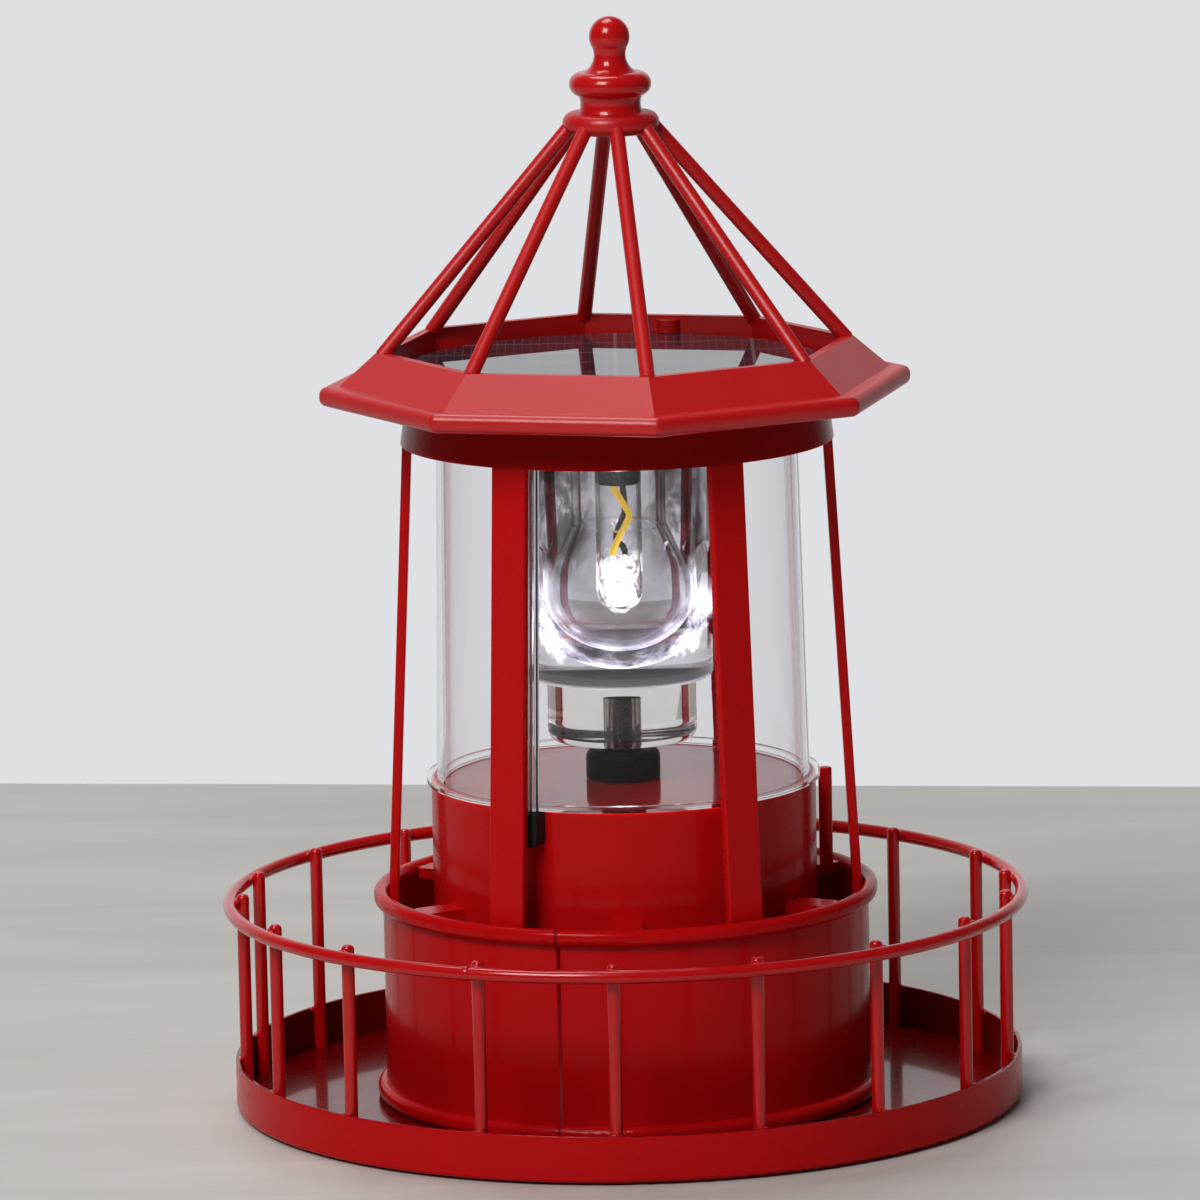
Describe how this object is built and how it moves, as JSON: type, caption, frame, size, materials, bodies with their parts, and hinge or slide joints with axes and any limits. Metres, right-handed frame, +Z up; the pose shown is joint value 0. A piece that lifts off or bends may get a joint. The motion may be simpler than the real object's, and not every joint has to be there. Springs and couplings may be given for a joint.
{
  "type": "solar lighthouse table lamp",
  "caption": "Lighthouse shaped solar lamp with a railed gallery, a glass lantern round a turning lens, and an open roof over a round solar panel.",
  "frame": {"origin": "centre of the underside of the base pan", "axes": "+Z up along the shaft of the lens, front towards -Y, +X to the right seen from the front"},
  "size_m": [0.1522, 0.1522, 0.205],
  "materials": {
    "red_paint": "gloss enamel on steel",
    "red_plastic": "moulded, gloss",
    "clear_glass": "clear",
    "clear_plastic": "clear, polished",
    "led_lens": "clear epoxy",
    "black_plastic": "moulded, satin",
    "black_rubber": "matte",
    "solar_cells": "cells under clear resin",
    "steel": "bright",
    "bronze": "turned",
    "white_plastic": "moulded, satin",
    "cell_wrap": "shrink sleeve",
    "board_green": "solder mask",
    "yellow_wire": "vinyl sleeve",
    "black_wire": "vinyl sleeve"
  },
  "bodies": {
    "lamp": {"base_pan": "red_paint", "gallery_rail": "red_paint", "drum": "red_paint", "baluster_01": "red_paint", "baluster_02": "red_paint", "baluster_03": "red_paint", "baluster_04": "red_paint", "baluster_05": "red_paint", "baluster_06": "red_paint", "baluster_07": "red_paint", "baluster_08": "red_paint", "baluster_09": "red_paint", "baluster_10": "red_paint", "baluster_11": "red_paint", "baluster_12": "red_paint", "baluster_13": "red_paint", "baluster_14": "red_paint", "baluster_15": "red_paint", "baluster_16": "red_paint", "baluster_17": "red_paint", "baluster_18": "red_paint", "cup": "red_plastic", "top_plate": "red_plastic", "locating_peg": "red_plastic", "lantern_cage": "red_plastic", "lantern_ceiling": "red_plastic", "roof_frame": "red_plastic", "finial": "red_plastic", "glass": "clear_glass", "bulb_globe": "clear_glass", "led_tube": "clear_glass", "solar_lead": "clear_plastic", "led": "led_lens", "led_bush": "black_plastic", "battery_door": "black_plastic", "switch_body": "black_plastic", "lead_grommet": "black_rubber", "solar_panel": "solar_cells", "idler_axle": "steel", "base_screws": "steel", "battery_door_screw": "steel", "gear_plate_screws": "steel", "motor_screws": "steel", "motor": "steel", "battery_contacts": "steel", "shaft_bushes": "bronze", "gear_plate": "white_plastic", "battery": "cell_wrap", "circuit_board": "board_green", "led_wire_yellow": "yellow_wire", "led_wire_black": "black_wire"},
    "lens_rotor": {"output_shaft": "steel", "output_gear": "white_plastic", "coupling": "black_plastic", "lens_carrier": "clear_plastic", "beam_lens": "clear_plastic"},
    "idler": {"idler_gear": "white_plastic"},
    "motor_rotor": {"motor_shaft": "steel", "motor_pinion": "bronze"},
    "switch_slider": {"switch_knob": "black_plastic"}
  },
  "joints": [
    {"name": "lens_spin", "type": "hinge", "parent": "lamp", "child": "lens_rotor", "pos_m": [0, 0, 0.0612], "axis": [0, 0, 1], "continuous": true},
    {"name": "idler_spin", "type": "hinge", "parent": "lamp", "child": "idler", "pos_m": [0, 0.0165, 0.049], "axis": [0, 0, 1], "continuous": true},
    {"name": "motor_spin", "type": "hinge", "parent": "lamp", "child": "motor_rotor", "pos_m": [0.0155, 0.01086, 0.049], "axis": [0, 0, 1], "continuous": true},
    {"name": "switch_slide", "type": "slide", "parent": "lamp", "child": "switch_slider", "axis": [1, 0, 0], "range_m": [0, 0.002]}
  ],
  "couplings": [
    {"joint": "idler_spin", "follows": "lens_spin", "ratio": -4.5},
    {"joint": "motor_spin", "follows": "lens_spin", "ratio": 20.25}
  ]
}
